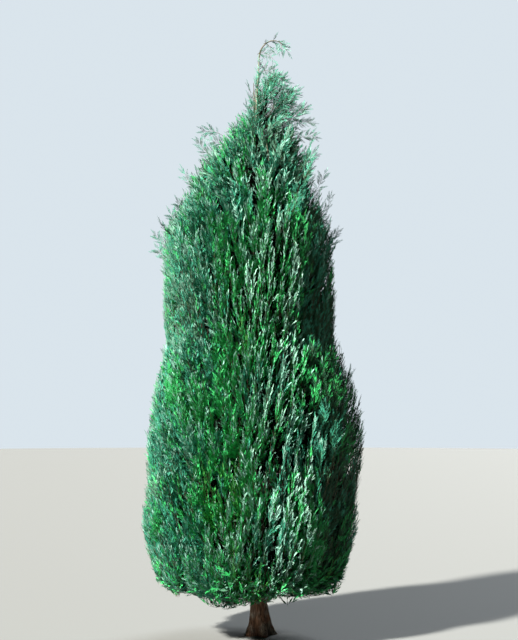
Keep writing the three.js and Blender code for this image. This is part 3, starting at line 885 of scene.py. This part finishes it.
def fans_on(lines, outward, distances, opening, lengths):
    """Fans along many shoots: roots at distances before a shoot's tip, alternately outward and inward."""
    long = np.linalg.norm(np.diff(lines, axis=1), axis=2).sum(axis=1)
    count = len(lines)
    found = []
    for k, distance in enumerate(distances):
        back = distance + FAN_SHIFT * growth.normal(size=count)
        roots, along = on_lines(lines, back)
        beside = unit(outward - (outward * along).sum(axis=1)[:, None] * along)
        side = 0 if k == 0 else (1 if k % 2 else -1)
        angle = side * growth.uniform(opening[..., 0], opening[..., 1], size=count)
        angle = (angle + OPENING_STRAY * growth.normal(size=count))[:, None]
        normal = np.cross(along, beside)
        ahead = np.cos(angle) * along + np.sin(angle) * beside
        ahead = unit(ahead + FAN_STRAY * growth.normal(size=(count, 1)) * normal)
        face = unit(normal - (normal * ahead).sum(axis=1)[:, None] * ahead)
        roll = FAN_ROLL * growth.normal(size=count)[:, None]
        face = np.cos(roll) * face + np.sin(roll) * np.cross(ahead, face)
        order, owner = np.full(count, k), np.arange(count)
        fans = Fans(roots, ahead, face, growth.uniform(*lengths, size=count), order, owner)
        found.append(picked(fans, back < long))
    return Fans(*(np.concatenate(values) for values in zip(*found)))


def scattered_fans(lines, distances, climb, lengths, towards=0, spread=math.pi):
    """Fans at distances before the tips of many lines, which point every way round or within a spread."""
    roots = np.concatenate([on_lines(lines, distance)[0] for distance in distances])
    count = len(roots)
    angle = towards + spread * growth.uniform(-1, 1, size=count)
    ahead = heading(angle, growth.uniform(*climb, size=count))
    face = unit(np.cross(ahead, growth.normal(size=(count, 3))))
    blank = np.zeros(count, int)
    return Fans(roots, ahead, face, growth.uniform(*lengths, size=count), blank, blank)


def kept_within(mass, fans, proud):
    """The fans whose tips lie within the mass's face, some shortened to it. The rest are left out."""
    tips = tips_of(fans)
    angle, height = np.arctan2(tips[:, 1], tips[:, 0]), tips[:, 2]
    limit = face_radius(mass, angle, height) + proud
    inner, outer = np.hypot(fans.roots[:, 0], fans.roots[:, 1]), np.hypot(tips[:, 0], tips[:, 1])
    fit = np.where(outer > limit, (limit - inner) / np.maximum(outer - inner, 1e-6), 1.0)
    fans = fans._replace(lengths=fans.lengths * np.clip(fit, LEAST_FAN, 1))
    kept = (fit > LEAST_FAN) & (room_in(mass, tips_of(fans)) > -NEXT_OVERLAP)
    return picked(fans, kept & (reach(angle, height) > 0))


def scale_leaves():
    """A node group: the mottling, roughness and tiny overlapping scales of cypress foliage."""
    group = bpy.data.node_groups.new("scale_leaves", "ShaderNodeTree")
    socket(group, "Tint", "INPUT", "NodeSocketColor")
    socket(group, "Mottle", "INPUT", "NodeSocketColor")
    socket(group, "Colour", "OUTPUT", "NodeSocketColor")
    socket(group, "Roughness", "OUTPUT", "NodeSocketFloat")
    socket(group, "Height", "OUTPUT", "NodeSocketFloat")
    nodes, link = group.nodes, group.links.new
    values = nodes.new("NodeGroupInput")
    result = nodes.new("NodeGroupOutput")
    spot = nodes.new("ShaderNodeTexCoord")
    mottle = nodes.new("ShaderNodeTexNoise")
    mottle.inputs["Scale"].default_value = 28
    mottle.inputs["Detail"].default_value = 4
    link(spot.outputs["Object"], mottle.inputs["Vector"])
    amount = nodes.new("ShaderNodeMapRange")
    amount.inputs["From Min"].default_value = 0.38
    amount.inputs["From Max"].default_value = 0.68
    link(mottle.outputs["Fac"], amount.inputs["Value"])
    colour = nodes.new("ShaderNodeMix")
    colour.data_type = "RGBA"
    link(amount.outputs["Result"], colour.inputs["Factor"])
    link(values.outputs["Tint"], colour.inputs["A"])
    link(values.outputs["Mottle"], colour.inputs["B"])
    rough = nodes.new("ShaderNodeMapRange")
    rough.inputs["To Min"].default_value = 0.5
    rough.inputs["To Max"].default_value = 0.72
    link(mottle.outputs["Fac"], rough.inputs["Value"])
    scales = nodes.new("ShaderNodeTexVoronoi")
    scales.inputs["Scale"].default_value = 330
    link(spot.outputs["Object"], scales.inputs["Vector"])
    link(colour.outputs["Result"], result.inputs["Colour"])
    link(rough.outputs["Result"], result.inputs["Roughness"])
    link(scales.outputs["Distance"], result.inputs["Height"])
    return group


SCALE_LEAVES = scale_leaves()


def leaf_material(name, tint, mottle_gain, gloss):
    material = bpy.data.materials.new(name)
    material.use_nodes = True
    nodes, link = material.node_tree.nodes, material.node_tree.links.new
    shader = nodes["Principled BSDF"]
    shader.inputs["Specular IOR Level"].default_value = gloss
    shader.inputs["Sheen Weight"].default_value = gloss / 10
    shader.inputs["Sheen Tint"].default_value = (0.75, 0.95, 0.9, 1)
    leaves = nodes.new("ShaderNodeGroup")
    leaves.node_tree = SCALE_LEAVES
    leaves.inputs["Tint"].default_value = (*tint, 1)
    leaves.inputs["Mottle"].default_value = (*(value * mottle_gain for value in tint), 1)
    raised = nodes.new("ShaderNodeBump")
    raised.inputs["Strength"].default_value = 0.6
    raised.inputs["Distance"].default_value = 0.0015
    link(leaves.outputs["Colour"], shader.inputs["Base Color"])
    link(leaves.outputs["Roughness"], shader.inputs["Roughness"])
    link(leaves.outputs["Height"], raised.inputs["Height"])
    link(raised.outputs["Normal"], shader.inputs["Normal"])
    return material


def fan_kinds(shape, sprigs, bend, count):
    """Several kinds of fan, each bent to one side or the other."""
    return [fan_kind(growth, shape, sprigs, growth.uniform(-bend, bend)) for _ in range(count)]


leaf_materials = {}
for name, tint in TINTS.items():
    leaf_materials[name] = leaf_material(f"leaf_{name}", tint, MOTTLE_GAIN, LEAF_GLOSS)
fine_kinds = fan_kinds(toothed_sprig(), FAN_SPRIGS, FINE_BEND, FAN_KINDS)
plain_kinds = fan_kinds(plain_sprig(), PLAIN_SPRIGS, PLAIN_BEND, FAN_KINDS)
sprays = {(tier.name, tint): [] for tier in TIERS for tint in TINTS}
ribs = {tier.name: [] for tier in TIERS}
tint_names = list(TINTS)
rungs = np.array([[tint_names.index(name) for name in ladder] for ladder in LADDERS])


def deal_sprays(tier, fans, hue, shade, depth):
    """Adds each fan, fine near the face and plain below it, in the tints that its hue and shade call for.
    Only young sprigs have the palest one."""
    kind = growth.integers(FAN_KINDS, size=len(fans.roots))
    fine = depth < DETAILED_DEPTH
    palest = rungs.shape[1] - 1
    old_tint = rungs[hue, np.clip(np.rint(shade - OLD_DARKER), 0, palest - 1).astype(int)]
    young_tint = rungs[hue, np.clip(np.rint(shade + YOUNG_PALER), 0, palest).astype(int)]
    ribs[tier].append(place(RIB, picked(fans, fine)))
    for which, level in ((fine, fine_kinds), (~fine, plain_kinds)):
        for number, shapes in enumerate(level):
            for shape, tint in zip(shapes, (old_tint, young_tint)):
                for index, name in enumerate(tint_names):
                    chosen = np.flatnonzero(which & (kind == number) & (tint == index))
                    if len(chosen):
                        sprays[tier, name].append(place(shape, picked(fans, chosen)))


def on_right(angle):
    """1 on the crown's right side, 0 elsewhere, and between them where one passes into the other."""
    return np.clip((np.cos(angle) - FLAT_FROM) / (FLAT_TO - FLAT_FROM), 0, 1)


def on_left(angle):
    """From 0 on the crown's right to 1 on its left."""
    return 0.5 - 0.5 * np.cos(angle)


def over_plumes(group, size, shift=Vector((0, 0, 0))):
    """A value for each plume that drifts slowly over the crown."""
    return np.array([noise.noise(Vector(line[-1]) / size + shift) for line in group.plumes])


def plates_of(group, lines, angles, plume):
    """The fans of a mass. Those of a line, which is a plume's end or a shoot, stand in one upright plate."""
    drift = np.clip(2 * over_plumes(group, DRIFT_SIZE), -1, 1)[plume] ** 3
    loose = looseness(lines[:, -1, 2])
    turning = (PLATE_TURN + PLATE_LOOSE * loose) * growth.normal(size=len(lines))
    turning += FLAT_SIDE * on_right(angles)
    plates = angles + PLATE_SWIRL + PLATE_DRIFT * drift + turning
    distances = FAN_SPACING * np.arange(FAN_COUNT)
    opening = FAN_OPENING[0] + loose[:, None] * (FAN_OPENING[1] - FAN_OPENING[0])
    fans = fans_on(lines, polar(plates, 1.0, 0.0), distances, opening, FAN_LENGTH)
    fans = fans._replace(lengths=fans.lengths * FAN_SCALE.get(group.mass.tier.name, 1))
    proud = (PROUD * growth.random(size=len(group.plumes)) - SUNK)[plume[fans.owner]]
    proud += LOOSE_PROUD * loose[fans.owner] * growth.random(size=len(proud)) ** 3
    return kept_within(group.mass, fans, proud)


def depth_of(fans):
    """How far inside the crown's face each fan's tip lies."""
    tips = tips_of(fans)
    return reach(np.arctan2(tips[:, 1], tips[:, 0]), tips[:, 2]) - np.hypot(tips[:, 0], tips[:, 1])


def shade_of(group, fans, owner, depth):
    """How pale each fan is, in steps of its ladder, with painted light and shade: palest at the crown's face
    and on one side, darker inside and on the right side.
    """
    inside = np.maximum(depth, 0)
    shade = over_plumes(group, SHADE_SIZE)
    shade = PLUME_SHADE + shade + PLUME_STRAY_SHADE * growth.normal(size=len(shade))
    # painted shade: darker the deeper a fan lies inside the face
    shade = shade[owner] - ORDER_SHADE * fans.order - PAINTED_SHADE_INSIDE * inside
    # painted light towards the front right and at the top, painted shade on the right side
    high = np.clip(group.plumes[:, -1, 2] - PAINTED_LIGHT_FROM, 0, 1)
    paler = PAINTED_LIGHT * np.cos(group.plume_angle - PAINTED_LIGHT_SIDE) + PAINTED_LIGHT_TOP * high
    shade += (paler - SHADED_SIDE * on_right(group.plume_angle))[owner]
    # paler near the face: partly bloom, partly painted light
    shade += FACE_BLOOM_AND_LIGHT * np.exp(-inside / BLOOM_AND_LIGHT_DEPTH) + SPRAY_STRAY_SHADE * growth.normal(size=len(shade))
    # on the left the steps are drawn together and the edge made lighter, as painted light
    left = on_left(group.plume_angle)[owner]
    return EVEN_SHADE + (shade - EVEN_SHADE) * (1 - EVEN_LEFT * left**2) + PAINTED_LIGHT_LEFT * left**8


def ladders_of(group):
    """The ladder of tints of each plume."""
    hue = over_plumes(group, HUE_SIZE, HUE_SHIFT)
    # the right side's hue drawn towards teal, as painted shade
    hue += HUE_STRAY * growth.normal(size=len(hue)) + SHADED_TEAL * on_right(group.plume_angle)
    # the left edge's hue drawn towards misty tints, as painted sheen
    hue += PAINTED_SHEEN_LEFT * on_left(group.plume_angle) ** 20
    hue += TEAL_TOP * looseness(group.plumes[:, -1, 2])
    return HUE_LADDER[np.digitize(hue, HUE_STEPS)]


def fill_of(group, lines, angles):
    """Fans that point outwards between the plates, most of them on the left, where the crown is closest."""
    angles = np.tile(angles, len(FILL_DISTANCES))
    fans = scattered_fans(lines, FILL_DISTANCES, FILL_CLIMB, FAN_LENGTH, angles, FILL_SPREAD)
    fans = picked(fans, growth.random(size=len(angles)) < FILL_LEAST - FILL_LEFT * np.cos(angles))
    return kept_within(group.mass, fans, -FILL_SUNK)


def underside_of(group, lines):
    """Fans that point every way round and close the crown from below."""
    fans = [scattered_fans(lines, LOW_DISTANCES, LOW_CLIMB, FAN_LENGTH)]
    fans.append(scattered_fans(group.plumes, LOW_PLUMES, LOW_CLIMB, FAN_LENGTH))
    fans = Fans(*(np.concatenate(values) for values in zip(*fans)))
    return kept_within(group.mass, picked(fans, fans.roots[:, 2] < LOW_SPRAYS), 0)


for group in grown:
    tier = group.mass.tier.name
    lines = np.concatenate([group.plumes[:, -3:], group.shoots])
    angles = np.concatenate([group.plume_angle, group.plates])
    plume = np.arange(len(lines)) % len(group.plumes)
    fans = plates_of(group, lines, angles, plume)
    owner, depth = plume[fans.owner], depth_of(fans)
    shade = shade_of(group, fans, owner, depth)
    deal_sprays(tier, fans, ladders_of(group)[owner], shade, depth)
    fans = fill_of(group, lines, angles)
    shade = FILL_SHADE + FILL_STRAY * growth.normal(size=len(fans.roots))
    teal = (growth.random(size=len(shade)) < FILL_TEAL).astype(int)
    deal_sprays(tier, fans, teal, shade, np.ones(len(shade)))
    if tier == "skirt":
        fans = underside_of(group, lines)
        shade = LOW_SHADE + LOW_STRAY * growth.normal(size=len(fans.roots))
        deal_sprays(tier, fans, np.zeros(len(shade), int), shade, np.ones(len(shade)))

for tier in TIERS:
    if tier.name not in LOOSE_SHOOTS:
        continue
    lines = loose_shoots(tier)
    if tier.name == "leader":
        nod = curve(stem_handles(masses[-1]), np.linspace(NOD_BARE, 1, LOOSE_POINTS))
        lines = np.concatenate([lines, nod[None]])
    hanging = np.array(HANGING) + HANGING_STRAY * growth.normal(size=(len(lines), 3))
    distances = LOOSE_SPACING * np.arange(LOOSE_COUNT)
    fans = fans_on(lines, unit(hanging), distances, LOOSE_OPENING, LOOSE_LENGTH)
    shade = LOOSE_SHADE + LOOSE_STRAY * growth.normal(size=len(fans.roots))
    deal_sprays(tier.name, fans, np.ones(len(shade), int), shade, np.zeros(len(shade)))

for (tier, tint), parts in sprays.items():
    if parts:
        joined(f"sprays_{tier}_{tint}", parts, leaf_materials[tint], tier)

green_rib = bark_material(
    "green_rib", (0.06, 0.085, 0.03), (0.03, 0.03, 0.014), (0.05, 0.11, 0.05), strands=300, bump=0.0006
)
for tier, parts in ribs.items():
    joined(f"ribs_{tier}", parts, green_rib, tier)

# Withered sprays
# Inside the crown the light is too dim for green foliage. Old sprays die there and hang on, brittle, along the
# trunk, the boughs and the twigs and along the lower part of the plumes. Their nearly black colour is painted
# shade.
WITHERED_SPRIGS = 8
WITHERED_KINDS = 6
# nearly black: painted shade on the dead sprays
WITHERED_SHADED_TINT = (0.0024, 0.0028, 0.0016)
WITHERED_MOTTLE, WITHERED_GLOSS = 1.5, 0.04
WITHERED_BEND = 0.3
WITHERED_LENGTH = (0.3, 0.48)
WITHERED_POINTS = 9
WITHERED_LOWEST = 0.62
WITHERED_CLIMB = (-0.2, 1.0)
# distances of the sprays before the ends of what bears them
ON_BOUGHS = (0.0, 0.06, 0.12, 0.18, 0.24, 0.3, 0.36, 0.42, 0.48, 0.54, 0.6)
ON_TWIGS = (0.0, 0.06, 0.12, 0.18, 0.24, 0.3, 0.36, 0.42, 0.48, 0.54)
ON_TRUNK = np.arange(0, 1.6, 0.08)
ON_PLUMES = (0.32, 0.42, 0.52, 0.62)
WITHERED_DEPTH = 0.19

# painted shade: the dead sprays are given a nearly black colour
withered = leaf_material("withered", WITHERED_SHADED_TINT, WITHERED_MOTTLE, WITHERED_GLOSS)
withered_kinds = fan_kinds(plain_sprig(), WITHERED_SPRIGS, WITHERED_BEND, WITHERED_KINDS)
for tier in TIERS[:4]:
    parts = []
    for group in grown:
        if group.mass.tier != tier:
            continue
        stations = np.linspace(0, 1, WITHERED_POINTS)
        bough = curve(bough_handles(group.mass), stations)[None]
        stem = curve(stem_handles(group.mass), stations)[None]
        low, high = group.mass.middle - tier.half, group.mass.middle + tier.half
        beside = np.array([[trunk_centre(height) for height in np.linspace(low, high, WITHERED_POINTS)]])
        for lines, distances in (
            (bough, ON_BOUGHS),
            (stem, ON_BOUGHS),
            (beside, ON_TRUNK),
            (group.twigs, ON_TWIGS),
            (group.plumes, ON_PLUMES),
        ):
            fans = scattered_fans(lines, distances, WITHERED_CLIMB, WITHERED_LENGTH)
            fans = kept_within(group.mass, picked(fans, fans.roots[:, 2] > WITHERED_LOWEST), -WITHERED_DEPTH)
            which = growth.integers(WITHERED_KINDS, size=len(fans.roots))
            for kind, shapes in enumerate(withered_kinds):
                for shape in shapes:
                    parts.append(place(shape, picked(fans, which == kind)))
    joined(f"withered_{tier.name}", parts, withered, tier.name)

# Ground, light and camera
# A plain pale floor, a lamp from the upper left in front, a weak and very soft one behind and a little
# to the right, and a pale surround. The camera looks slightly up from above head height.
FLOOR_RADIUS = 60
FLOOR_COLOUR = (0.10, 0.103, 0.10)
CAMERA_SIDE = -0.011
CAMERA_HEIGHT = 2.31
CAMERA_DISTANCE = 10.63
CAMERA_PITCH = 5.55  # degrees above level
CAMERA_LENS = 55
LAMPS = {
    # azimuth, elevation and softness in degrees, strength and colour
    "key": (52, 38, 4, 22.5, (1.0, 0.97, 0.9)),
    "back": (205, 35, 25, 4.5, (0.9, 0.96, 1.0)),
}

floor_shape = bmesh.new()
bmesh.ops.create_circle(floor_shape, cap_ends=True, segments=96, radius=FLOOR_RADIUS)
floor_mesh = bpy.data.meshes.new("floor")
floor_shape.to_mesh(floor_mesh)
floor_shape.free()
floor = bpy.data.objects.new("floor", floor_mesh)
bpy.context.scene.collection.objects.link(floor)
floor_paint = bpy.data.materials.new("floor_paint")
floor_paint.use_nodes = True
floor_paint.node_tree.nodes["Principled BSDF"].inputs["Base Color"].default_value = (*FLOOR_COLOUR, 1)
floor_paint.node_tree.nodes["Principled BSDF"].inputs["Roughness"].default_value = 0.9
floor_mesh.materials.append(floor_paint)

surround = bpy.data.worlds.new("surround")
surround.use_nodes = True
nodes, link = surround.node_tree.nodes, surround.node_tree.links.new
fill = nodes["Background"]
fill.inputs["Color"].default_value = (0.8, 0.92, 1.0, 1)
fill.inputs["Strength"].default_value = 0.03
backdrop = nodes.new("ShaderNodeBackground")
backdrop.inputs["Color"].default_value = (0.70, 0.78, 0.84, 1)
seen = nodes.new("ShaderNodeLightPath")
both = nodes.new("ShaderNodeMixShader")
link(seen.outputs["Is Camera Ray"], both.inputs["Fac"])
link(fill.outputs["Background"], both.inputs[1])
link(backdrop.outputs["Background"], both.inputs[2])
link(both.outputs["Shader"], nodes["World Output"].inputs["Surface"])
bpy.context.scene.world = surround


def lamp(name, azimuth, elevation, softness, strength, colour):
    """A far lamp. Azimuth 0 is the camera's side, and it turns to the camera's left. All in degrees."""
    azimuth, elevation = math.radians(azimuth), math.radians(elevation)
    light = bpy.data.lights.new(name, "SUN")
    light.angle = math.radians(softness)
    light.energy = strength
    light.color = colour
    holder = bpy.data.objects.new(name, light)
    level = math.cos(elevation)
    towards = Vector((-math.sin(azimuth) * level, -math.cos(azimuth) * level, math.sin(elevation)))
    holder.rotation_euler = towards.to_track_quat("Z", "Y").to_euler()
    bpy.context.scene.collection.objects.link(holder)


for name, values in LAMPS.items():
    lamp(name, *values)

camera_data = bpy.data.cameras.new("camera")
camera_data.lens = CAMERA_LENS
camera = bpy.data.objects.new("camera", camera_data)
camera.location = (CAMERA_SIDE, -CAMERA_DISTANCE, CAMERA_HEIGHT)
camera.rotation_euler = (math.radians(90 + CAMERA_PITCH), 0, 0)
bpy.context.scene.collection.objects.link(camera)
bpy.context.scene.camera = camera
bpy.context.scene.view_settings.view_transform = "Standard"
